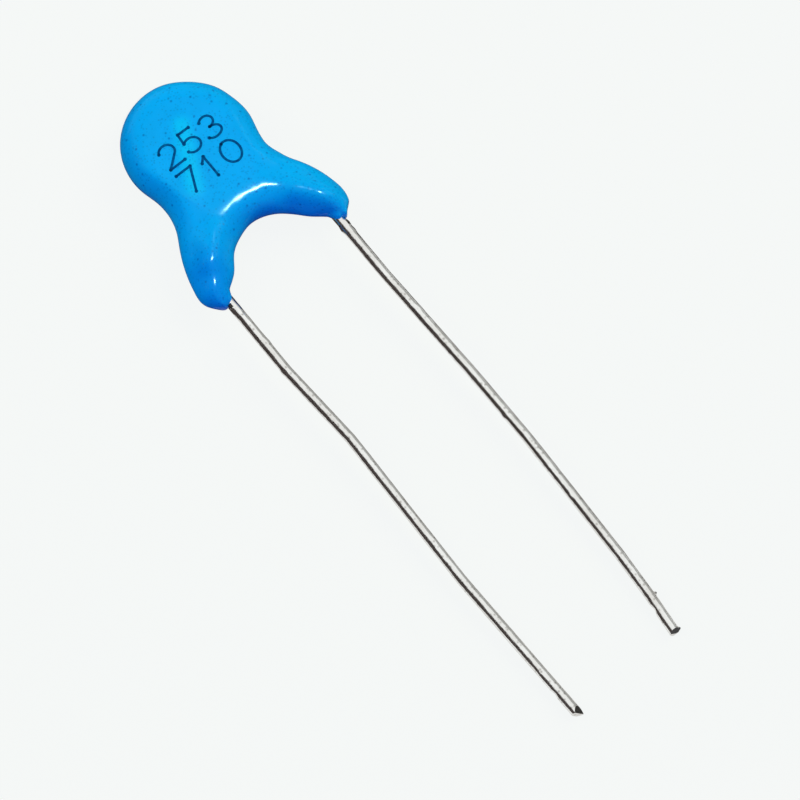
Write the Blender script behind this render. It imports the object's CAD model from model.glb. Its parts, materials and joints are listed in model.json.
"""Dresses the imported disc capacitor: glossy epoxy coat, tinned wires, printed marking and pale stage."""

import json
import math

import bmesh
import bpy
from bpy.props import FloatProperty, FloatVectorProperty, IntProperty, PointerProperty, StringProperty
from bpy.types import Operator, Panel, PropertyGroup
from mathutils import Matrix, Vector
from mathutils.bvhtree import BVHTree


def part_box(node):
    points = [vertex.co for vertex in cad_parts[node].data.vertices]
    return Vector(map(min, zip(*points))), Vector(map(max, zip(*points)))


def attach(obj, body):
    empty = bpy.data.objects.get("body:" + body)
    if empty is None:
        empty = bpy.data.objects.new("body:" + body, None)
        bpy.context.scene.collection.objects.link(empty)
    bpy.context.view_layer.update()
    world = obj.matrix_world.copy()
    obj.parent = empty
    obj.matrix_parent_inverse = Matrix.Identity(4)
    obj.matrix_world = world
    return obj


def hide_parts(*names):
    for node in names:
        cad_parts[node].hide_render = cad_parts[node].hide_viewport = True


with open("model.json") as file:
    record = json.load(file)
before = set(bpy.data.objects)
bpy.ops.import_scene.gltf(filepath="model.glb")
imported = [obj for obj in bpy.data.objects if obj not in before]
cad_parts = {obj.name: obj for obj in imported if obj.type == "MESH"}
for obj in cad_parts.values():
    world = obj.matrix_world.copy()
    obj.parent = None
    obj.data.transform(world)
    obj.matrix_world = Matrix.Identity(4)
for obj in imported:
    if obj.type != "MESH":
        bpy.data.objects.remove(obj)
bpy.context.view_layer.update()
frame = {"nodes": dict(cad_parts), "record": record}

bl_info = {
    "name": "Ceramic Disc Capacitor",
    "version": (1, 0, 0),
    "blender": (4, 5, 0),
    "location": "3D View > Sidebar > Capacitor",
    "description": "Models a dipped ceramic disc capacitor with tinned wire leads round its packed frame",
    "category": "Add Mesh",
}

# Pieces are modelled with one unit to the millimetre and brought to metres when they are finished
METRES = 0.001
BODY = "root"

# The disc's middle height and the wires' radius, in millimetres, as the frame has them
MID_HEIGHT = round(sum(corner.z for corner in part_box("ceramic_disc")) / 2 / METRES, 3)
MOUNTS = {row["name"]: row for row in frame["record"]["mounts"]}
WIRE_RADIUS = MOUNTS["left_pin"]["dims"]["r_mm"]

# Where the left-hand wire starts, from the disc's centre, in millimetres, and its slant in degrees;
# it lies on the disc's front, and the right-hand wire on its rear, half a turn round Y
WIRE_START = Vector((0.15, 0.6, 0.63))
WIRE_SLANT = 26.907
# Each wire's way inside the coat: straight lengths in millimetres and the turns after them in degrees
FACE_RUN = 3.62
INNER_RUN = ((FACE_RUN, 16), (2.033, 16), (2.333, WIRE_SLANT), (1.6, 2.035))
# The radius of the first three bends and that of the others, in millimetres
INNER_BEND, OUTER_BEND = 0.9, 1.5


# ---------- sizes and colours ----------


def colour_setting(name, description, default):
    return FloatVectorProperty(
        name=name, description=description, subtype="COLOR", size=3, min=0, max=1, default=default)


def length_setting(name, description, default, low, high):
    return FloatProperty(
        name=name, description=description + ", in millimetres", default=default, min=low, max=high)


class CoatSettings(PropertyGroup):
    colour: colour_setting("Colour", "Colour of the epoxy", (0.0, 0.4, 1.0))
    thin_colour: colour_setting("Thin coat", "Colour where the epoxy is thin over a wire", (0.0, 0.54, 1.0))
    deep_colour: colour_setting("Deep coat", "Colour where the epoxy pooled", (0.0, 0.27, 0.88))
    fleck_colour: colour_setting("Flecks", "Colour of the dark pigment flecks", (0.0, 0.1, 0.45))
    roughness: FloatProperty(
        name="Roughness", description="Roughness of the cured surface",
        default=0.16, min=0, max=1, subtype="FACTOR")
    skin_step: length_setting(
        "Skin step", "Size of the cells that the skin is rebuilt from", 0.06, 0.03, 0.3)
    settle: IntProperty(
        name="Settling", description="How many times the wet epoxy evens itself out",
        default=50, min=0, max=60)
    unevenness: length_setting("Unevenness", "Height of the broad waves left by dipping", 0.018, 0, 0.2)


class LeadSettings(PropertyGroup):
    colour: colour_setting("Colour", "Colour of the tin", (0.97, 0.965, 0.95))
    roughness: FloatProperty(
        name="Roughness", description="Roughness of the tin",
        default=0.2, min=0, max=1, subtype="FACTOR")
    sides: IntProperty(
        name="Sides", description="Faces round a wire", default=32, min=8, max=64)
    ring_gap: length_setting("Ring gap", "Length of one ring of faces along a wire", 0.06, 0.03, 0.5)
    swell: length_setting("Swelling", "Height of the slow swells in the tin", 0.022, 0, 0.1)
    grain: length_setting("Grain", "Height of the small lumps in the tin", 0.012, 0, 0.05)


class MarkingSettings(PropertyGroup):
    colour: colour_setting("Ink", "Colour of the printed figures", (0.0, 0.042, 0.18))
    upper_row: StringProperty(
        name="Upper row", description="Plain figures in the upper row", default="253")
    lower_row: StringProperty(
        name="Lower row", description="Plain figures in the lower row", default="710")
    height: length_setting("Height", "Height of a figure", 1.34, 0.5, 2)
    pitch: length_setting("Pitch", "From one figure to the next", 1.37, 0.5, 3)
    row_gap: length_setting("Row gap", "From one row to the next", 1.81, 0.5, 4)
    pen: length_setting("Pen width", "Width of a stroke", 0.138, 0.05, 0.3)


class StageSettings(PropertyGroup):
    azimuth: FloatProperty(
        name="Azimuth", description="Camera's way round the part",
        default=math.radians(-38.5), subtype="ANGLE")
    elevation: FloatProperty(
        name="Elevation", description="Camera's height above the floor",
        default=math.radians(70.5), subtype="ANGLE")
    view_width: FloatProperty(
        name="View width", description="Width of the picture where the part lies",
        default=0.0431, min=0.01, unit="LENGTH")
    distance: FloatProperty(
        name="Distance", description="From the camera to the part",
        default=0.45, min=0.1, unit="LENGTH")
    backdrop: colour_setting("Backdrop", "Colour of the floor and the backdrop", (0.914, 0.937, 0.93))


def settings(group):
    return getattr(bpy.context.scene, "capacitor_" + group)


# ---------- modelling helpers ----------

# Faces that meet at less than this angle are shaded as one surface
SMOOTH_ANGLE = math.radians(50)


def activate(obj):
    """Leaves one object selected and active."""
    bpy.ops.object.select_all(action="DESELECT")
    obj.select_set(True)
    bpy.context.view_layer.objects.active = obj


def open_edit(obj):
    """Starts editing an object with nothing selected."""
    activate(obj)
    bpy.ops.object.mode_set(mode="EDIT")
    bpy.ops.mesh.select_mode(type="VERT")
    bpy.ops.mesh.select_all(action="DESELECT")


def close_edit():
    bpy.ops.object.mode_set(mode="OBJECT")


def pick(test, kind="verts"):
    """Selects just the parts of the edited mesh that pass a test."""
    mesh = bpy.context.edit_object.data
    shape = bmesh.from_edit_mesh(mesh)
    for part in shape.verts[:] + shape.edges[:] + shape.faces[:]:
        part.select = False
    for part in getattr(shape, kind):
        if test(part):
            part.select_set(True)
    bmesh.update_edit_mesh(mesh)


def modify(obj, kind, **values):
    """Adds a modifier, sets it and applies it."""
    activate(obj)
    modifier = obj.modifiers.new(kind.title(), kind)
    for name, value in values.items():
        setattr(modifier, name, value)
    bpy.ops.object.modifier_apply(modifier=modifier.name)


def pull(obj, place, push, reach):
    """Moves the vertex nearest to a place, and with it the skin within reach."""
    nearest = min(obj.data.vertices, key=lambda vert: (vert.co - place).length_squared).index
    open_edit(obj)
    pick(lambda vert: vert.index == nearest)
    bpy.ops.transform.translate(
        value=push, use_proportional_edit=True, proportional_edit_falloff="SMOOTH", proportional_size=reach)
    close_edit()


def displace(obj, strength, name, size, depth=1):
    """Moves a piece's skin by a cloud pattern, with its size in millimetres."""
    texture = bpy.data.textures.new(name, "CLOUDS")
    texture.noise_scale = size
    texture.noise_depth = depth
    modify(obj, "DISPLACE", texture=texture, strength=strength, texture_coords="LOCAL")


def to_metres(obj):
    """Brings a piece modelled in millimetres to metres."""
    obj.scale = (METRES,) * 3
    activate(obj)
    bpy.ops.object.transform_apply(location=True, rotation=True, scale=True)


def finish_piece(obj, name, material, replaced=()):
    """Turns a piece's faces outwards and gives it its body, slot and material, unless it wears two."""
    obj.name = obj.data.name = name
    open_edit(obj)
    bpy.ops.mesh.select_all(action="SELECT")
    bpy.ops.mesh.normals_make_consistent(inside=False)
    close_edit()
    bpy.ops.object.shade_smooth_by_angle(angle=SMOOTH_ANGLE)
    if len(obj.data.materials) < 2:
        obj.data.materials.clear()
        obj.data.materials.append(material)
    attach(obj, BODY)
    if replaced:
        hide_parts(*replaced)


# ---------- materials ----------

# How rough the noise of an uneven skin is, and the heights between which it turns light
NOISE_ROUGHNESS = 0.55
TONE_RANGE = (0.3, 0.7)
# The Mix node's sockets for colours, which share their names with others
MIX_SHARE, MIX_FIRST, MIX_SECOND, MIX_COLOUR = 0, 6, 7, 2


def group_tree(name, inputs, outputs):
    """A shader node group whose sockets all hold a number, and its two end nodes."""
    tree = bpy.data.node_groups.new(name, "ShaderNodeTree")
    for label, value in inputs.items():
        socket = tree.interface.new_socket(label, in_out="INPUT", socket_type="NodeSocketFloat")
        socket.default_value = value
    for label in outputs:
        tree.interface.new_socket(label, in_out="OUTPUT", socket_type="NodeSocketFloat")
    return tree, tree.nodes.new("NodeGroupInput"), tree.nodes.new("NodeGroupOutput")


def add_node(tree, kind, sockets=None, **fields):
    """Adds a node, sets its fields and, by name or number, sets or links its sockets."""
    made = tree.nodes.new("ShaderNode" + kind)
    for name, value in fields.items():
        setattr(made, name, value)
    for socket, given in (sockets or {}).items():
        if isinstance(given, bpy.types.NodeSocket):
            tree.links.new(given, made.inputs[socket])
        else:
            made.inputs[socket].default_value = given
    return made


def reckon(tree, operation, first, second, **fields):
    """The output of a Math node."""
    return add_node(tree, "Math", {0: first, 1: second}, operation=operation, **fields).outputs[0]


def combine(tree, operation, first, second, output=0):
    """An output of a Vector Math node."""
    return add_node(tree, "VectorMath", {0: first, 1: second}, operation=operation).outputs[output]


def scaled(tree, vector, factor):
    sockets = {"Vector": vector, "Scale": factor}
    return add_node(tree, "VectorMath", sockets, operation="SCALE").outputs[0]


def join_xyz(tree, x, y, z=0.0):
    return add_node(tree, "CombineXYZ", {"X": x, "Y": y, "Z": z}).outputs[0]


def fade(tree, value, reach, curve):
    """1 at no distance and 0 from the reach on."""
    sockets = {"Value": value, "From Min": 0.0, "From Max": reach, "To Min": 1.0, "To Max": 0.0}
    return add_node(tree, "MapRange", sockets, interpolation_type=curve).outputs[0]


def position_mm(tree):
    """Where a point of the piece lies, in millimetres."""
    return scaled(tree, add_node(tree, "TexCoord").outputs["Object"], 1 / METRES)


def unevenness_group():
    """Height and tone of a fine uneven skin; sizes are in millimetres."""
    inputs = {"Size": 1.0, "Along Y": 1.0, "Depth": 2.0}
    tree, start, end = group_tree("Uneven Skin", inputs, ("Height", "Tone"))
    squeeze = join_xyz(tree, 1.0, reckon(tree, "DIVIDE", 1.0, start.outputs["Along Y"]), 1.0)
    noise = add_node(tree, "TexNoise", {
        "Vector": combine(tree, "MULTIPLY", position_mm(tree), squeeze),
        "Scale": reckon(tree, "DIVIDE", 1.0, start.outputs["Size"]),
        "Detail": start.outputs["Depth"],
        "Roughness": NOISE_ROUGHNESS,
    })
    tree.links.new(noise.outputs["Fac"], end.inputs["Height"])
    low, high = TONE_RANGE
    tone = add_node(tree, "MapRange", {"Value": noise.outputs["Fac"], "From Min": low, "From Max": high})
    tree.links.new(tone.outputs[0], end.inputs["Tone"])
    return tree


def fleck_group():
    """A mask of small scattered flecks; sizes are in millimetres."""
    tree, start, end = group_tree("Flecks", {"Spacing": 0.3, "Size": 0.05, "Share": 0.2}, ("Mask",))
    size, spacing = start.outputs["Size"], start.outputs["Spacing"]
    sockets = {"Vector": position_mm(tree), "Scale": reckon(tree, "DIVIDE", 1.0, spacing)}
    cells = add_node(tree, "TexVoronoi", sockets)
    near = fade(tree, cells.outputs["Distance"], reckon(tree, "DIVIDE", size, spacing), "SMOOTHSTEP")
    draw = add_node(tree, "SeparateColor", {"Color": cells.outputs["Color"]}).outputs[0]
    chosen = reckon(tree, "LESS_THAN", draw, start.outputs["Share"])
    tree.links.new(reckon(tree, "MULTIPLY", near, chosen), end.inputs["Mask"])
    return tree


def stretch_group():
    """A mask along a straight stretch, above the height Middle if Up is 1 and below it if Up is -1."""
    inputs = {
        "From X": 0.0, "From Y": 0.0, "To X": 0.0, "To Y": 1.0, "Reach": 0.5, "Middle": 0.0, "Up": 1.0}
    tree, start, end = group_tree("Stretch", inputs, ("Mask",))
    place = add_node(tree, "SeparateXYZ", {"Vector": position_mm(tree)})
    first = join_xyz(tree, start.outputs["From X"], start.outputs["From Y"])
    last = join_xyz(tree, start.outputs["To X"], start.outputs["To Y"])
    run = combine(tree, "SUBTRACT", last, first)
    offset = combine(tree, "SUBTRACT", join_xyz(tree, place.outputs["X"], place.outputs["Y"]), first)
    share = reckon(tree, "DIVIDE", combine(tree, "DOT_PRODUCT", offset, run, "Value"),
                   combine(tree, "DOT_PRODUCT", run, run, "Value"), use_clamp=True)
    away = combine(tree, "DISTANCE", offset, scaled(tree, run, share), "Value")
    near = fade(tree, away, start.outputs["Reach"], "SMOOTHERSTEP")
    above = reckon(tree, "SUBTRACT", place.outputs["Z"], start.outputs["Middle"])
    side = reckon(tree, "GREATER_THAN", reckon(tree, "MULTIPLY", above, start.outputs["Up"]), 0.0)
    tree.links.new(reckon(tree, "MULTIPLY", near, side), end.inputs["Mask"])
    return tree


def group_node(tree, name, **values):
    """Places a shared node group in a material, building it the first time."""
    makers = {"Uneven Skin": unevenness_group, "Flecks": fleck_group, "Stretch": stretch_group}
    source = bpy.data.node_groups.get(name) or makers[name]()
    made = tree.nodes.new("ShaderNodeGroup")
    made.node_tree = source
    for label, value in values.items():
        made.inputs[label.replace("_", " ")].default_value = value
    return made


def stretch_node(tree, first, last, **values):
    """Places the mask of a straight stretch between two points, in millimetres."""
    ends = {"From_X": first[0], "From_Y": first[1], "To_X": last[0], "To_Y": last[1]}
    return group_node(tree, "Stretch", **ends, **values).outputs["Mask"]


def blend_colour(tree, share, first, second):
    """Mixes two colours, each a socket or plain, by a share."""
    sockets = {MIX_SHARE: share}
    for socket, given in ((MIX_FIRST, first), (MIX_SECOND, second)):
        sockets[socket] = given if isinstance(given, bpy.types.NodeSocket) else (*given, 1)
    return add_node(tree, "Mix", sockets, data_type="RGBA").outputs[MIX_COLOUR]


def lay_over(tree, colour, mask, strength, over):
    """Lays a second colour over the first where a mask is, with a strength."""
    return blend_colour(tree, reckon(tree, "MULTIPLY", mask, strength), colour, over)


def mix_shaders(tree, share, first, second):
    return add_node(tree, "MixShader", {0: share, 1: first, 2: second}).outputs[0]


def glowing(tree, kind, colour, strength=1.0):
    """The output of a shader that gives off a colour."""
    return add_node(tree, kind, {"Color": (*colour, 1), "Strength": strength}).outputs[0]


def shaded_material(name, colour, **shader_values):
    """A material with one Principled shader; returns it with its tree and shader."""
    material = bpy.data.materials.new(name)
    material.use_nodes = True
    material.diffuse_color = (*colour, 1)
    tree = material.node_tree
    shader = tree.nodes["Principled BSDF"]
    shader.inputs["Base Color"].default_value = (*colour, 1)
    for label, value in shader_values.items():
        shader.inputs[label.replace("_", " ")].default_value = value
    return material, tree, shader


def add_bump(tree, shader, height, distance):
    """Feeds a height, in millimetres at full scale, to a shader's normal."""
    bump = add_node(tree, "Bump", {"Height": height, "Distance": distance * METRES, "Strength": 1.0})
    tree.links.new(bump.outputs[0], shader.inputs["Normal"])


def shared(maker):
    """A material that several pieces wear, made the first time it is asked for."""
    name = maker.__name__.replace("_material", "")
    return bpy.data.materials.get(name) or maker(name)


def toned(colour, tone):
    """A colour with each of its channels brought down to a share."""
    return tuple(channel * share for channel, share in zip(colour, tone))


# Where the thick epoxy looks deeper: both ends of a stretch and how far from it, in millimetres
POOLS = (((-4.4, -8.6), (-3.9, -6.8), 2.4), ((2.2, -6.6), (3.3, -8.2), 0.9))
# Fine and coarse flecks: spacing and size in millimetres, the share of places with one, and the strength
COAT_FLECKS = ((0.16, 0.08, 0.7, 0.4), (0.45, 0.11, 0.6, 0.8))
# How strongly the fine mottling, the thin coat over a wire and the pools show
MOTTLE_STRENGTH, THIN_STRENGTH, POOL_STRENGTH = 0.35, 0.75, 0.9
# How far the coat looks thin on either side of a wire, and the relief of its pores, in millimetres
THIN_REACH, PORE_RELIEF = 0.9, 0.003
# Lower than the whole piece, so that a pool counts on all of the skin above
UNDER_ALL = -1.0
COAT_SHADE = (0.9, 0.9, 0.9)
COAT_SHEEN = (0.4, 0.8, 1, 1)


def dipped_epoxy_material(name):
    """Blue epoxy, cloudy and mottled, paler over each wire and deeper where it pooled, with flecks."""
    coat = settings("coat")
    material, tree, shader = shaded_material(
        name, coat.colour, Roughness=coat.roughness, Specular_IOR_Level=0.12,
        Specular_Tint=COAT_SHEEN)
    dark = toned(coat.colour, COAT_SHADE)
    clouds = group_node(tree, "Uneven Skin", Size=2.2, Depth=3.0)
    mottle = group_node(tree, "Uneven Skin", Size=0.11, Depth=2.0)
    colour = blend_colour(tree, clouds.outputs["Tone"], dark, coat.colour)
    colour = lay_over(tree, colour, mottle.outputs["Tone"], MOTTLE_STRENGTH, dark)
    slant = math.radians(WIRE_SLANT)
    for up in (1, -1):
        first = up * WIRE_START.x, WIRE_START.y
        last = up * (WIRE_START.x - FACE_RUN * math.sin(slant)), WIRE_START.y - FACE_RUN * math.cos(slant)
        thin = stretch_node(tree, first, last, Reach=THIN_REACH, Middle=MID_HEIGHT, Up=up)
        colour = lay_over(tree, colour, thin, THIN_STRENGTH, coat.thin_colour)
    for first, last, reach in POOLS:
        pool = stretch_node(tree, first, last, Reach=reach, Middle=UNDER_ALL)
        colour = lay_over(tree, colour, pool, POOL_STRENGTH, coat.deep_colour)
    for spacing, size, share, strength in COAT_FLECKS:
        flecks = group_node(tree, "Flecks", Spacing=spacing, Size=size, Share=share)
        colour = lay_over(tree, colour, flecks.outputs["Mask"], strength, coat.fleck_colour)
    tree.links.new(colour, shader.inputs["Base Color"])
    pores = group_node(tree, "Uneven Skin", Size=0.35, Depth=3.0)
    add_bump(tree, shader, pores.outputs["Height"], PORE_RELIEF)
    return material


# What dull and spotted tin keep of its colour, its tint at the rim, and its relief in millimetres
DULL_TIN, SPOTTED_TIN = (0.84, 0.82, 0.8), (0.5, 0.48, 0.46)
TIN_RIM = (0.6, 0.57, 0.55, 1)
TIN_RELIEF = 0.013
CORE_COLOUR = (0.02, 0.018, 0.016)
DARK_CORE, BRIGHT_CORE = (0.01, 0.009, 0.008), (0.04, 0.036, 0.033)


def tinned_copper_material(name):
    lead = settings("lead")
    material, tree, shader = shaded_material(
        name, lead.colour, Metallic=1.0, Roughness=lead.roughness, Specular_Tint=TIN_RIM)
    streaks = group_node(tree, "Uneven Skin", Size=0.16, Along_Y=4.0, Depth=3.0)
    tarnish = group_node(tree, "Uneven Skin", Size=0.5, Along_Y=3.0, Depth=4.0)
    specks = group_node(tree, "Flecks", Spacing=0.2, Size=0.11, Share=0.45)
    skin = blend_colour(tree, tarnish.outputs["Tone"], toned(lead.colour, DULL_TIN), lead.colour)
    skin = blend_colour(tree, specks.outputs["Mask"], skin, toned(lead.colour, SPOTTED_TIN))
    tree.links.new(skin, shader.inputs["Base Color"])
    add_bump(tree, shader, streaks.outputs["Height"], TIN_RELIEF)
    return material


def snipped_core_material(name):
    """The bare core where a wire was snipped off."""
    material, tree, shader = shaded_material(name, CORE_COLOUR, Metallic=0.3, Roughness=0.5)
    marks = group_node(tree, "Uneven Skin", Size=0.05, Depth=2.0)
    colour = blend_colour(tree, marks.outputs["Tone"], DARK_CORE, BRIGHT_CORE)
    tree.links.new(colour, shader.inputs["Base Color"])
    return material


# How much of the ink is left where it has worn
WORN_INK = 0.82


def marking_ink_material(name):
    ink = settings("marking").colour
    material, tree, shader = shaded_material(name, ink, Roughness=0.3, Specular_IOR_Level=0.04)
    wear = group_node(tree, "Uneven Skin", Size=0.16, Depth=3.0)
    faded = Vector(settings("coat").colour).lerp(Vector(ink), WORN_INK)
    colour = blend_colour(tree, wear.outputs["Tone"], faded, ink)
    tree.links.new(colour, shader.inputs["Base Color"])
    return material


INNER_SHADE = (0.85, 0.85, 0.85)


def inner_material(name, colour, metallic, roughness, grain, relief):
    """A mottled matt material for a piece inside the coat; grain and relief are in millimetres."""
    material, tree, shader = shaded_material(name, colour, Metallic=metallic, Roughness=roughness)
    mottle = group_node(tree, "Uneven Skin", Size=grain, Depth=4.0)
    mottled = blend_colour(tree, mottle.outputs["Tone"], toned(colour, INNER_SHADE), colour)
    tree.links.new(mottled, shader.inputs["Base Color"])
    add_bump(tree, shader, mottle.outputs["Height"], relief)
    return material


# ---------- epoxy coat ----------

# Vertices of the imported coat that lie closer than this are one, in millimetres
WELD_GAP = 0.001
# How strongly each round of settling evens the skin, and the size of the dip waves in millimetres
SETTLE_FACTOR, WAVE_SIZE = 0.5, 3
# How much wider and longer the wet epoxy fills out round the coat's middle
FILL_OUT, COAT_MIDDLE = (1.015, 1.01, 1), (0, -2.3, MID_HEIGHT)
# How much of its height the ridge over the front wire keeps
RIDGE_KEPT = 0.35
# Where the wet epoxy has gathered: a place on the skin, the push and its reach, all in millimetres
GATHERED = (
    # Outline, seen from above
    ((3.4, -1.2, 1.3), (0.22, -0.02, 0), 2.2),
    ((4.5, -5.4, 1.3), (0.08, 0.03, 0), 2.4),
    ((2.7, -7.3, 1.3), (-0.05, -0.05, 0), 1.0),
    ((3.8, -8.1, 1.3), (-0.08, -0.12, 0), 0.5),
    ((4.35, -8.4, 1.3), (-0.07, 0.16, 0), 0.8),
    ((3.5, -3.4, 1.3), (0.08, 0.05, 0), 1.0),
    ((2.3, 2.75, 1.3), (-0.06, -0.06, 0), 1.9),
    ((-1.0, -5.7, 1.3), (0.03, -0.06, 0), 1.2),
    ((-2.8, -7.2, 1.3), (0.1, -0.1, 0), 1.2),
    ((-3.9, -8.3, 1.3), (0.2, -0.14, 0), 0.7),
    ((-4.8, -7.7, 1.3), (-0.06, -0.03, 0), 0.9),
    # Backs and hollows of the legs and the arch
    ((-3.2, -6.1, 2.3), (0, 0, 0.1), 1.5),
    ((-3.75, -7.15, 2.1), (0, 0, 0.25), 2.0),
    ((3.2, -6.1, 2.3), (0, 0, 0.1), 1.5),
    ((3.65, -7.05, 2.1), (0, 0, 0.25), 2.0),
    ((-2.4, -5.4, 2.4), (0, 0, 0.09), 1.2),
    ((2.4, -5.4, 2.4), (0, 0, 0.09), 1.2),
    ((-2.1, -5.1, 2.5), (0, 0, 0.07), 0.9),
    ((2.0, -4.9, 2.5), (0, 0, 0.05), 1.0),
    ((-3.9, -5.5, 2.2), (0, 0, -0.1), 1.0),
    ((-4.4, -6.7, 2.1), (0, 0, -0.12), 1.1),
    ((-3.6, -6.9, 2.3), (0, 0, 0.08), 1.4),
    ((3.5, -6.7, 2.3), (0, 0, 0.06), 1.4),
    ((-4.0, -7.6, 2.1), (0, 0, 0.15), 1.2),
    ((3.9, -7.5, 2.1), (0, 0, 0.13), 1.2),
    ((-2.6, -5.7, 2.5), (0, 0, 0.11), 1.3),
    ((-3.1, -6.3, 2.5), (0, 0, 0.12), 1.3),
    ((-3.9, -7.5, 2.4), (0, 0, -0.15), 1.3),
    ((-4.1, -8.1, 2.0), (0, 0, 0.12), 1.3),
    ((2.6, -5.7, 2.5), (0, 0, 0.1), 1.3),
    ((3.1, -6.3, 2.5), (0, 0, 0.1), 1.3),
    ((3.7, -7.35, 2.5), (0, 0, 0.18), 1.4),
    ((4.1, -8.1, 2.0), (0, 0, 0.12), 1.3),
    ((1.92, -5.35, 2.6), (0, 0, -0.06), 1.0),
    # Upper rims of the toes
    ((3.65, -8.4, 1.65), (0, -0.2, 0), 0.4),
    ((-3.65, -8.5, 1.65), (0, -0.1, 0), 0.4),
)


class CAPACITOR_OT_coat(Operator):
    """Rebuilds the dipped epoxy coat as one even skin"""
    bl_idname = "capacitor.coat"
    bl_label = "Epoxy Coat"

    def execute(self, context):
        values = settings("coat")
        coat = bpy.data.objects.new("coat", frame["nodes"]["coating"].data.copy())
        context.scene.collection.objects.link(coat)
        coat.data.transform(Matrix.Scale(1 / METRES, 4))
        open_edit(coat)
        bpy.ops.mesh.select_all(action="SELECT")
        bpy.ops.mesh.remove_doubles(threshold=WELD_GAP)
        self.drop_hollow()
        bpy.ops.mesh.select_all(action="SELECT")
        bpy.ops.mesh.fill_holes(sides=0)
        close_edit()
        modify(coat, "REMESH", mode="VOXEL", voxel_size=values.skin_step)
        modify(coat, "SMOOTH", factor=SETTLE_FACTOR, iterations=values.settle)
        self.gather(coat)
        displace(coat, values.unevenness, "dip waves", WAVE_SIZE)
        to_metres(coat)
        finish_piece(coat, "epoxy_coat", shared(dipped_epoxy_material), ["coating"])
        return {"FINISHED"}

    def gather(self, coat):
        """Fills the coat out, lowers the front wire's ridge and pulls the skin where epoxy gathered."""
        open_edit(coat)
        bpy.ops.mesh.select_all(action="SELECT")
        bpy.ops.transform.resize(value=FILL_OUT, center_override=COAT_MIDDLE)
        # The flat face lies as far above the disc's middle as the floor lies below it
        face_height = 2 * MID_HEIGHT
        pick(lambda vert: vert.co.z > face_height)
        bpy.ops.transform.resize(value=(1, 1, RIDGE_KEPT), center_override=(0, 0, face_height))
        close_edit()
        for place, push, reach in GATHERED:
            pull(coat, Vector(place), push, reach)

    def drop_hollow(self):
        """Deletes the walls that face the inner pieces: the coat lies both above and below them."""
        shape = bmesh.from_edit_mesh(bpy.context.edit_object.data)
        shape.normal_update()
        tree = BVHTree.FromBMesh(shape)
        step = 0.01

        def inner(face):
            place = face.calc_center_median() + face.normal * step
            return all(tree.ray_cast(place, Vector((0, 0, way)))[0] is not None for way in (1, -1))

        pick(inner, "faces")
        bpy.ops.mesh.delete(type="FACE")
        pick(lambda vert: not vert.link_faces)
        bpy.ops.mesh.delete(type="VERT")


# ---------- leads ----------

# Degrees between the points of a bend
BEND_STEP = 2
# How much a wire is stretched once it is swollen, and the size of its swells and grain before that
WIRE_STRETCH = 3
SWELL_SIZE, GRAIN_SIZE, GRAIN_DEPTH = 0.9, 0.16, 2
# A face further from the axis than this many radii belongs to a burr
BURR_RADII = 1.13
# The bare core is a wire's second material
CORE_SLOT = 1
LEADS = {
    "left_lead": {
        "side": -1,
        # The rest of its way: straight lengths and the turns after them in degrees, towards X if positive
        "bow": ((4.5, 3.6), (4.9, -5.0), (9.6, 2.7), (9.75, 0)),
        # Where tin has gathered: distance from the tip, angle round the wire in degrees, height and reach
        "lumps": (
            (29.2, 122, 0.13, 0.2), (28.2, 95, 0.04, 0.35), (26.4, 30, 0.03, 0.4),
            (24.6, 190, 0.03, 0.3), (19.2, 110, 0.02, 0.5), (12.3, 60, 0.025, 0.3),
            (3.1, 130, 0.03, 0.25), (1.8, 190, -0.06, 0.35)),
        # Sharp burrs, given like lumps
        "burrs": (),
        # Distance from the tip, the share of its thickness that a flat keeps, and its reach
        "flats": ((2.3, 0.9, 0.9), (0.9, 0.93, 0.6)),
        # Each cut's point, back from the tip, sideways and up, its facing and whether it bares the core
        "cuts": (
            ((0.5, 0.2, 0.18), (0.45, 0.45, 0.77), True), ((0.05, 0.2, -0.1), (0.85, -0.5, 0.1), False)),
    },
    "right_lead": {
        "side": 1,
        "bow": ((3.5, 1.7), (6.9, -1.1), (4.8, -2.2), (8, -2), (2.8, -2), (2.35, 0)),
        "lumps": (
            (28.6, 40, 0.07, 0.35), (28.1, 20, 0.04, 0.3), (28.5, 200, 0.05, 0.35),
            (22.5, 60, 0.03, 0.4), (15.0, 180, 0.03, 0.3), (9.3, 150, 0.03, 0.3),
            (1.7, 190, -0.07, 0.4)),
        "burrs": ((2.4, 5, 0.12, 0.14), (0.14, 350, 0.13, 0.15)),
        "flats": ((1.3, 0.88, 0.8),),
        "cuts": (
            ((0.02, 0, 0), (0.98, -0.1, 0.12), False), ((0.08, 0.02, 0.05), (0.92, 0.11, 0.38), True)),
    },
}


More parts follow.
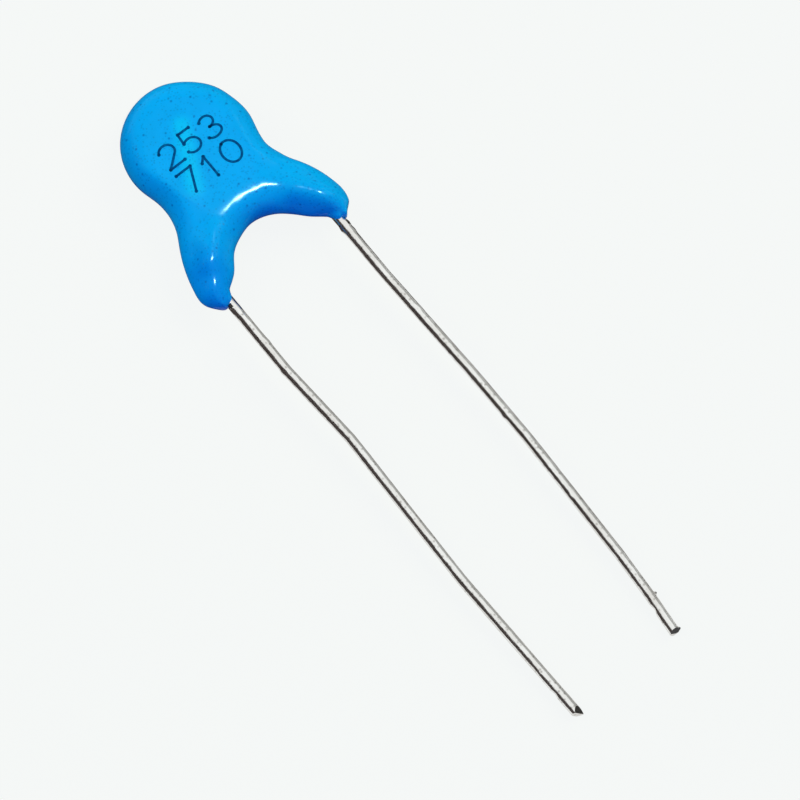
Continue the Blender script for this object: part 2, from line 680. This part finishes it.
def wire_points(side, bow):
    """Points along a wire's axis from the ceramic to its tip, in millimetres."""
    place = Vector((-side * WIRE_START.x, WIRE_START.y, MID_HEIGHT - side * WIRE_START.z))
    # Columns are the ways across the wire towards X, away from the floor and along the wire
    pose = Matrix(((1, 0, 0), (0, 0, -1), (0, 1, 0)))
    pose = Matrix.Rotation(side * math.radians(WIRE_SLANT), 3, "Z") @ pose
    ways = (side * 90, -side * 90, 180 if side > 0 else 0, -90)
    stretches = [(*run, way, INNER_BEND) for run, way in zip(INNER_RUN[:3], ways)]
    stretches.append((*INNER_RUN[3], ways[3], OUTER_BEND))
    stretches += [(run, abs(turn), 180 if turn < 0 else 0, OUTER_BEND) for run, turn in bow]
    points = [place.copy()]
    for run, turn, way, radius in stretches:
        place = place + pose.col[2] * run
        points.append(place.copy())
        steps = math.ceil(turn / BEND_STEP)
        toward = math.cos(math.radians(way)) * pose.col[0] + math.sin(math.radians(way)) * pose.col[1]
        axis = pose.col[2].cross(toward)
        for _ in range(steps):
            bend = Matrix.Rotation(math.radians(turn / steps), 3, axis)
            along = pose.col[2] + bend @ pose.col[2]
            place = place + along.normalized() * 2 * radius * math.sin(math.radians(turn / steps) / 2)
            pose = bend @ pose
            points.append(place.copy())
    return points


class CAPACITOR_OT_leads(Operator):
    """Models each tinned wire straight, with its swells and lumps, then lays it along its route"""
    bl_idname = "capacitor.leads"
    bl_label = "Tinned Leads"

    def execute(self, context):
        tin, core = shared(tinned_copper_material), shared(snipped_core_material)
        for name, lead in LEADS.items():
            points = wire_points(lead["side"], lead["bow"])
            length = sum((b - a).length for a, b in zip(points, points[1:]))
            wire = self.straight_wire(name, length)
            wire.data.materials.append(tin)
            wire.data.materials.append(core)
            self.gather_tin(wire, length, lead["lumps"] + lead["burrs"], lead["flats"])
            self.bare_burrs(wire)
            self.snip(wire, length, lead["cuts"])
            self.lay(context, wire, points)
            to_metres(wire)
            finish_piece(wire, name.replace("lead", "wire"), tin, [name])
        return {"FINISHED"}

    def straight_wire(self, name, length):
        """A tube along X, swollen while it is short so that the swells stretch with it."""
        values = settings("lead")
        rings = math.ceil(length / values.ring_gap)
        gap = length / rings / WIRE_STRETCH
        bpy.ops.mesh.primitive_cylinder_add(
            vertices=values.sides, radius=WIRE_RADIUS, depth=gap, end_fill_type="NOTHING",
            location=(gap / 2, 0, 0), rotation=(0, math.pi / 2, 0))
        wire = bpy.context.active_object
        bpy.ops.object.transform_apply(location=True, rotation=True, scale=True)
        modify(wire, "ARRAY", count=rings, use_merge_vertices=True, merge_threshold=gap / 10)
        displace(wire, values.swell, name + " swells", SWELL_SIZE)
        displace(wire, values.grain, name + " grain", GRAIN_SIZE, GRAIN_DEPTH)
        wire.scale = (WIRE_STRETCH, 1, 1)
        activate(wire)
        bpy.ops.object.transform_apply(scale=True)
        for near_end in (True, False):
            open_edit(wire)
            pick(lambda edge: edge.is_boundary and (edge.verts[0].co.x < length / 2) == near_end, "edges")
            bpy.ops.mesh.edge_face_add()
            close_edit()
        return wire

    def gather_tin(self, wire, length, lumps, flats):
        """Pulls out each lump of tin and presses each flat."""
        for back, angle, height, reach in lumps:
            out = Vector((0, math.cos(math.radians(angle)), math.sin(math.radians(angle))))
            spot = Vector((length - back, 0, 0)) + out * WIRE_RADIUS
            pull(wire, spot, out * height, reach)
        for back, squeeze, reach in flats:
            open_edit(wire)
            pick(lambda vert: abs(vert.co.x - length + back) < reach / 2)
            bpy.ops.transform.resize(
                value=(1, 1, squeeze), center_override=(length - back, 0, 0),
                use_proportional_edit=True, proportional_edit_falloff="SMOOTH", proportional_size=reach)
            close_edit()

    def bare_burrs(self, wire):
        """Gives each sharp burr that stands out of the wire the core's finish."""
        open_edit(wire)
        pick(lambda face: face.calc_center_median().yz.length > BURR_RADII * WIRE_RADIUS, "faces")
        wire.active_material_index = CORE_SLOT
        bpy.ops.object.material_slot_assign()
        close_edit()

    def snip(self, wire, length, cuts):
        """Cuts the tip with the slants that pliers leave."""
        open_edit(wire)
        for (back, side, up), way, bares_core in cuts:
            bpy.ops.mesh.select_all(action="SELECT")
            place = (length - back, side, up)
            bpy.ops.mesh.bisect(plane_co=place, plane_no=way, use_fill=True, clear_outer=True)
            if bares_core:
                wire.active_material_index = CORE_SLOT
                bpy.ops.object.material_slot_assign()
        close_edit()

    def lay(self, context, wire, points):
        """Bends a straight wire along its points."""
        data = bpy.data.curves.new("route", "CURVE")
        data.dimensions = "3D"
        data.twist_mode = "Z_UP"
        spline = data.splines.new("POLY")
        spline.points.add(len(points) - 1)
        for target, point in zip(spline.points, points):
            target.co = (*point, 1)
        route = bpy.data.objects.new("route", data)
        context.scene.collection.objects.link(route)
        context.view_layer.update()
        modify(wire, "CURVE", object=route, deform_axis="POS_X")
        bpy.data.objects.remove(route)
        bpy.data.curves.remove(data)


# ---------- marking ----------

# Lower left corner of the first figure, drawn above the coat and then dropped on it, in millimetres
FIRST_FIGURE = Vector((-1.92, -1.05, 5))
# The ink's height over the coat and its thickness, in millimetres
INK_LIFT, INK_DEPTH = 0.003, 0.004
# Degrees between an arc's points, and the gap between a stroke's points in figure heights
ARC_STEP, POINT_GAP = 10, 0.06
# Keeps a stretch of whole gaps from getting one point too many
ROUNDING = 0.01
# A blot's faces, and its radius in pen widths
BLOT_SIDES, BLOT_RADIUS = 12, 0.72
# A figure is one unit high; a stroke is points, or arcs as centre, both radii, first and last angle
FIGURES = {
    "0": [[(0.38, 0.5, 0.4, 0.5, 110, 470)]],
    "1": [[(0.16, 0.78), (0.38, 1)], [(0.38, 1), (0.38, 0)]],
    "2": [[(0.38, 0.7, 0.34, 0.3, 160, -40), (0.04, 0)], [(0.04, 0), (0.76, 0)]],
    "3": [[(0.36, 0.75, 0.3, 0.25, 150, -90)], [(0.36, 0.25, 0.36, 0.25, 90, -150)]],
    "4": [[(0.56, 1), (0.02, 0.3)], [(0.02, 0.3), (0.78, 0.3)], [(0.56, 1), (0.56, 0)]],
    "5": [[(0.68, 1), (0.14, 1)], [(0.14, 1), (0.1, 0.55)], [(0.36, 0.31, 0.36, 0.31, 135, -150)]],
    "6": [[(0.66, 0.34, 0.62, 0.64, 100, 180), (0.4, 0.32, 0.36, 0.32, 180, 540)]],
    "7": [[(0.04, 1), (0.74, 1)], [(0.74, 1), (0.28, 0)]],
    "8": [[(0.38, 0.76, 0.28, 0.24, -90, 270)], [(0.38, 0.26, 0.34, 0.26, 90, 450)]],
    "9": [[(0.12, 0.66, 0.62, 0.64, 280, 360), (0.38, 0.68, 0.36, 0.32, 0, 360)]],
}


def stroke_points(stroke):
    """Evenly close points along a stroke."""
    corners = []
    for part in stroke:
        if len(part) == 2:
            corners.append(Vector((*part, 0)))
            continue
        x, y, across, up, first, last = part
        steps = math.ceil(abs(last - first) / ARC_STEP)
        angles = [math.radians(first + (last - first) * k / steps) for k in range(steps + 1)]
        corners += [Vector((x + across * math.cos(t), y + up * math.sin(t), 0)) for t in angles]
    points = corners[:1]
    for here, there in zip(corners, corners[1:]):
        steps = math.ceil((there - here).length / POINT_GAP - ROUNDING)
        points += [here.lerp(there, (k + 1) / steps) for k in range(steps)]
    return points


class CAPACITOR_OT_marking(Operator):
    """Prints two rows of plain figures on the coat"""
    bl_idname = "capacitor.marking"
    bl_label = "Marking"

    def execute(self, context):
        values = settings("marking")
        strips = []
        for row, figures in enumerate((values.upper_row, values.lower_row)):
            for place, figure in enumerate(figures):
                corner = FIRST_FIGURE + Vector((place * values.pitch, -row * values.row_gap, 0))
                for stroke in FIGURES[figure]:
                    points = [corner + point * values.height for point in stroke_points(stroke)]
                    strips += [self.strip(points, values.pen), *self.blots(points, values.pen)]
        marks = strips[0]
        activate(marks)
        for strip in strips:
            strip.select_set(True)
        bpy.ops.object.join()
        to_metres(marks)
        modify(marks, "SHRINKWRAP", target=bpy.data.objects["epoxy_coat"], wrap_method="PROJECT",
               use_project_z=True, use_negative_direction=True, use_positive_direction=False,
               offset=INK_LIFT * METRES)
        modify(marks, "SOLIDIFY", thickness=INK_DEPTH * METRES, offset=1)
        finish_piece(marks, "marking_figures", shared(marking_ink_material))
        return {"FINISHED"}

    def strip(self, points, pen):
        """Draws the pen's edge along a stroke, from half its width before the first point."""
        way = (points[1] - points[0]).normalized()
        start = points[0] - way * pen / 4
        turn = math.atan2(way.y, way.x)
        bpy.ops.mesh.primitive_plane_add(size=pen, location=start, rotation=(0, 0, turn))
        strip = bpy.context.active_object
        strip.scale.x = 0.5
        bpy.ops.object.transform_apply(location=True, rotation=True, scale=True)
        open_edit(strip)
        pick(lambda edge: all((vert.co - start).dot(way) > 0 for vert in edge.verts), "edges")
        for here, there, after in zip(points, points[1:], points[2:] + points[-1:]):
            bpy.ops.mesh.extrude_region_move(TRANSFORM_OT_translate={"value": there - here})
            if after != there:
                # Both the signed angle and the operator count clockwise turns as positive
                turn = (there - here).xy.angle_signed((after - there).xy)
                bpy.ops.transform.rotate(value=turn, orient_axis="Z", center_override=there)
        close_edit()
        return strip

    def blots(self, points, pen):
        """The round blots where the pen rested at a stroke's ends."""
        ends = points[:1] if (points[0] - points[-1]).length < pen else (points[0], points[-1])
        for end in ends:
            bpy.ops.mesh.primitive_circle_add(
                vertices=BLOT_SIDES, radius=BLOT_RADIUS * pen, fill_type="NGON", location=end)
            bpy.ops.object.transform_apply(location=True)
            yield bpy.context.active_object


# ---------- inner pieces ----------


class CAPACITOR_OT_inner(Operator):
    """Gives the ceramic, the silver and the solder inside the coat their finishes"""
    bl_idname = "capacitor.inner"
    bl_label = "Inner Pieces"

    def execute(self, context):
        finishes = {
            "ceramic": inner_material(
                "fired_ceramic", (0.5, 0.36, 0.22), metallic=0.0, roughness=0.7, grain=0.15, relief=0.01),
            "silver": inner_material(
                "fired_silver", (0.75, 0.74, 0.7), metallic=0.8, roughness=0.5, grain=0.1, relief=0.006),
            "solder": inner_material(
                "dull_solder", (0.55, 0.55, 0.54), metallic=1.0, roughness=0.38, grain=0.3, relief=0.02),
            "tinned_wire": shared(tinned_copper_material),
            "blue_epoxy": shared(dipped_epoxy_material),
        }
        slots = {row["node"]: row["material_slot"] for row in frame["record"]["subparts"]}
        for name, node in frame["nodes"].items():
            node.data.materials.clear()
            node.data.materials.append(finishes[slots[name]])
        return {"FINISHED"}


# ---------- stage ----------

# The light from all round: bluish, so that the shaded epoxy stays deep blue
FILL_COLOUR, FILL_STRENGTH = (0.38, 0.38, 0.96), 0.7
# Places and sizes on the stage are in metres; the floor lies just under the part
FLOOR_SIZE, FLOOR_HEIGHT = 4, -0.00002
# The floor as it lights the part, and as it is seen: a little sheen under a glow
PAPER, SHEEN, GLOW_SHARE = (0.08, 0.08, 0.08, 1), (0.9, 0.9, 0.9, 1), 0.96
# The cards' colours as a mirror shows them
DARK, GREY = (0.06, 0.05, 0.048), (0.4, 0.41, 0.4)
# Upright cards beside the part: colour, centre, height and length
SIDE_CARDS = {
    "dark_card": (DARK, (-0.06, 0, 0.05), (0.1, 0.24)),
    "grey_card": (GREY, (0.04, 0, 0.016), (0.032, 0.24)),
}
# Upright cards between the wires, so that neither mirrors the other leg
MIDDLE_CARDS = {
    "middle_dark": (DARK, (0.0018, -0.0239, 0.001), (0.002, 0.03)),
    "middle_grey": (GREY, (-0.0018, -0.0239, 0.001), (0.002, 0.03)),
}
# The floor the part darkens round itself: the left, right, front and back edge of each dark card
BASE_HEIGHT, BASE_FRONT, BASE_LEFT, COAT_FRONT = -0.00001, -0.12, -0.06, -0.0088
BASE_CARDS = {
    "coat_base": (BASE_LEFT, 0.04, COAT_FRONT, 0.12),
    "left_base": (BASE_LEFT, -0.0062, BASE_FRONT, COAT_FRONT),
    "middle_base": (-0.0022, 0.0011, BASE_FRONT, COAT_FRONT),
    "right_base": (0.0051, 0.0084, BASE_FRONT, COAT_FRONT),
}
# The picture's side and, from its upper left corner, the disc's centre, in pixels
PICTURE_SIZE = 800
DISC_ACROSS, DISC_DOWN = 187.4, 153.3
# The camera's sensor, in millimetres
SENSOR_WIDTH = 36


def stage_material(name):
    """A material without any shader; returns it with its tree."""
    material = bpy.data.materials.new(name)
    material.use_nodes = True
    material.node_tree.nodes.clear()
    return material, material.node_tree


class CAPACITOR_OT_stage(Operator):
    """Sets the floor, the light and the camera"""
    bl_idname = "capacitor.stage"
    bl_label = "Stage"

    def execute(self, context):
        self.world(context)
        self.floor()
        self.cards()
        self.lamps()
        self.camera(context)
        context.scene.view_settings.view_transform = "Standard"
        return {"FINISHED"}

    def shown(self, tree):
        """1 for a ray that shows the background: from the camera, a mirror or glass."""
        path = add_node(tree, "LightPath")
        seen = path.outputs["Is Camera Ray"]
        for other in ("Is Glossy Ray", "Is Transmission Ray"):
            seen = reckon(tree, "MAXIMUM", seen, path.outputs[other])
        return seen

    def world(self, context):
        """Lights the part from all round and shows the pale backdrop."""
        world = bpy.data.worlds.new("pale surroundings")
        context.scene.world = world
        world.use_nodes = True
        tree = world.node_tree
        tree.nodes.clear()
        light = glowing(tree, "Background", FILL_COLOUR, FILL_STRENGTH)
        pale = glowing(tree, "Background", settings("stage").backdrop)
        mix = mix_shaders(tree, self.shown(tree), light, pale)
        tree.links.new(mix, add_node(tree, "OutputWorld").inputs["Surface"])

    def floor(self):
        bpy.ops.mesh.primitive_plane_add(size=FLOOR_SIZE, location=(0, 0, FLOOR_HEIGHT))
        floor = bpy.context.active_object
        floor.name = "floor"
        bpy.ops.object.transform_apply(location=True)
        material, tree = stage_material("pale_floor")
        paper = add_node(tree, "BsdfDiffuse", {"Color": PAPER}).outputs[0]
        sheen = add_node(tree, "BsdfDiffuse", {"Color": SHEEN}).outputs[0]
        glow = glowing(tree, "Emission", settings("stage").backdrop)
        pale = mix_shaders(tree, GLOW_SHARE, sheen, glow)
        mix = mix_shaders(tree, self.shown(tree), paper, pale)
        tree.links.new(mix, add_node(tree, "OutputMaterial").inputs["Surface"])
        floor.data.materials.append(material)

    def card(self, name, colour, centre, turn, size):
        """A card that is seen in the part's reflections alone."""
        bpy.ops.mesh.primitive_plane_add(size=1, location=centre, rotation=turn)
        card = bpy.context.active_object
        card.name = name
        card.scale = (*size, 1)
        bpy.ops.object.transform_apply(location=True, rotation=True, scale=True)
        card.visible_camera = card.visible_diffuse = card.visible_shadow = False
        material, tree = stage_material(name)
        glow = glowing(tree, "Emission", colour)
        tree.links.new(glow, add_node(tree, "OutputMaterial").inputs["Surface"])
        card.data.materials.append(material)

    def cards(self):
        upright, lying = (0, math.pi / 2, 0), (0, 0, 0)
        for name, (colour, centre, size) in SIDE_CARDS.items():
            self.card(name, colour, centre, upright, size)
        for name, (left, right, front, back) in BASE_CARDS.items():
            centre = ((left + right) / 2, (front + back) / 2, BASE_HEIGHT)
            self.card(name, DARK, centre, lying, (right - left, back - front))
        for name, (colour, centre, size) in MIDDLE_CARDS.items():
            self.card(name, colour, centre, upright, size)

    def lamp(self, name, way, distance, size, power, colour=(1, 1, 1), **flags):
        """An area lamp that shines on the disc from a direction."""
        data = bpy.data.lights.new(name, "AREA")
        data.shape = "DISK"
        data.size = size
        data.energy = power
        data.color = colour
        lamp = bpy.data.objects.new(name, data)
        bpy.context.scene.collection.objects.link(lamp)
        way = Vector(way).normalized()
        lamp.location = way * distance
        lamp.rotation_euler = way.to_track_quat("Z", "Y").to_euler()
        for flag, value in flags.items():
            setattr(lamp, flag, value)
        return lamp

    def lamps(self):
        """Two broad lamps shape the coat, and a small oval one shines in its gloss."""
        self.lamp("right", way=(0.766, 0, 0.643), distance=0.5, size=0.35, power=2.0,
                  colour=(1, 1, 0.36), visible_glossy=False)
        self.lamp("left", way=(-0.542, 0.542, 0.643), distance=0.5, size=0.35, power=1.25,
                  colour=(1, 1, 0.33), visible_glossy=False)
        glint = self.lamp("glint", way=(0.138, -0.003, 0.99), distance=0.4, size=0.03, power=4.0,
                          visible_diffuse=False)
        glint.data.shape = "ELLIPSE"
        glint.data.size_y = 0.08
        # The wires mirror the backdrop and the cards alone
        glossy = bpy.data.collections.new("glossy coat")
        glossy.objects.link(bpy.data.objects["epoxy_coat"])
        glint.light_linking.receiver_collection = glossy

    def camera(self, context):
        """Looks down on the part so that the disc's centre shows at its pixel."""
        stage = settings("stage")
        data = bpy.data.cameras.new("camera")
        camera = bpy.data.objects.new("camera", data)
        context.scene.collection.objects.link(camera)
        level = math.cos(stage.elevation)
        back = Vector((math.sin(stage.azimuth) * level, -math.cos(stage.azimuth) * level,
                       math.sin(stage.elevation)))
        turn = (-back).to_track_quat("-Z", "Y")
        across, up = turn @ Vector((1, 0, 0)), turn @ Vector((0, 1, 0))
        off_x, off_y = DISC_ACROSS / PICTURE_SIZE - 0.5, 0.5 - DISC_DOWN / PICTURE_SIZE
        aim = -(across * off_x + up * off_y) * stage.view_width
        camera.location = aim + back * stage.distance
        camera.rotation_mode = "QUATERNION"
        camera.rotation_quaternion = turn
        data.sensor_width = SENSOR_WIDTH
        data.lens = data.sensor_width * stage.distance / stage.view_width
        data.clip_start, data.clip_end = 0.01, 10
        context.scene.camera = camera


# ---------- panel and running ----------


class CAPACITOR_PT_tools(Panel):
    """Lists the pieces and their settings"""
    bl_label = "Disc Capacitor"
    bl_space_type = "VIEW_3D"
    bl_region_type = "UI"
    bl_category = "Capacitor"

    def draw(self, context):
        for group, operator in PARTS:
            box = self.layout.box()
            box.operator(operator.bl_idname)
            if group:
                values = settings(group)
                for name in values.__annotations__:
                    box.prop(values, name)


GROUPS = {"coat": CoatSettings, "lead": LeadSettings, "marking": MarkingSettings, "stage": StageSettings}
PARTS = ((None, CAPACITOR_OT_inner), ("coat", CAPACITOR_OT_coat), ("lead", CAPACITOR_OT_leads),
         ("marking", CAPACITOR_OT_marking), ("stage", CAPACITOR_OT_stage))
CLASSES = (*GROUPS.values(), *(operator for _, operator in PARTS), CAPACITOR_PT_tools)


def register():
    for made in CLASSES:
        bpy.utils.register_class(made)
    for name, group in GROUPS.items():
        setattr(bpy.types.Scene, "capacitor_" + name, PointerProperty(type=group))


def unregister():
    for name in GROUPS:
        delattr(bpy.types.Scene, "capacitor_" + name)
    for made in reversed(CLASSES):
        bpy.utils.unregister_class(made)


def main():
    register()
    bpy.ops.capacitor.inner()
    bpy.ops.capacitor.coat()
    bpy.ops.capacitor.leads()
    bpy.ops.capacitor.marking()
    bpy.ops.capacitor.stage()


if __name__ == "__main__":
    main()
